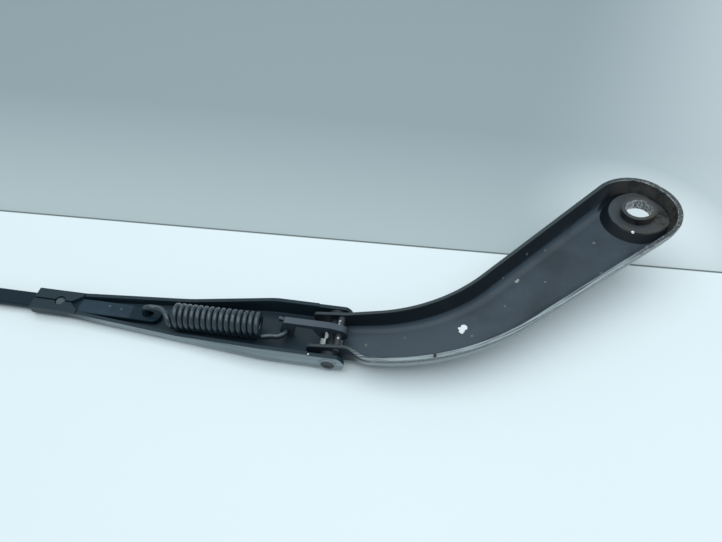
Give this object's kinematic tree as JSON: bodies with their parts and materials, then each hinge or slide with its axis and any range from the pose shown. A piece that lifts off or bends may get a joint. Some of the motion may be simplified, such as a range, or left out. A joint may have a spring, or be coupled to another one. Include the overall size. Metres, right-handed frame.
{
  "type": "wiper arm",
  "caption": "Black pressed-steel windscreen wiper arm lying underside up: doglegged mounting head, spring-loaded hinge, channel retainer and flat rod with a hook for the blade.",
  "frame": {"origin": "middle of the spindle bore in the mounting head", "axes": "+X from the rod's hook towards the mounting head along the rod, +Z out of the open underside, square to the rod, so the arm lies underside up as pictured"},
  "size_m": [0.4995, 0.1149, 0.0372],
  "materials": {
    "head_paint": "satin black paint over pressed steel, worn at the rim",
    "anchor_pin_steel": "black paint worn to steel where the link bears",
    "bush": "dark plain bush",
    "rivet_steel": "black painted steel",
    "retainer_paint": "satin black paint over pressed steel",
    "rod_paint": "satin black paint over rolled bar",
    "link_steel": "black coated steel, rubbed bright at the eye",
    "spring_steel": "black coated spring wire"
  },
  "bodies": {
    "mounting_head": {"mounting_head": "head_paint", "anchor_pin": "anchor_pin_steel", "hinge_bush_near": "bush", "hinge_bush_far": "bush"},
    "arm": {"retainer_channel": "retainer_paint", "arm_rod": "rod_paint", "hinge_rivet": "rivet_steel"},
    "spring_link": {"spring_link": "link_steel", "tension_spring": "spring_steel"}
  },
  "joints": [
    {"name": "arm_hinge", "type": "hinge", "parent": "mounting_head", "child": "arm", "pos_m": [-0.13984, -0.07965, -0.02356], "axis": [0, -1, 0], "range_deg": [0, 50], "stiffness_Nm_per_rad": 1.5, "springref_deg": -68.75, "deforming": ["tension_spring"]},
    {"name": "link_pivot", "type": "hinge", "parent": "mounting_head", "child": "spring_link", "pos_m": [-0.13684, -0.07965, -0.01896], "axis": [0, -1, 0], "range_deg": [0, 45]}
  ],
  "couplings": [
    {"joint": "link_pivot", "follows": "arm_hinge", "ratio": 0.9}
  ]
}
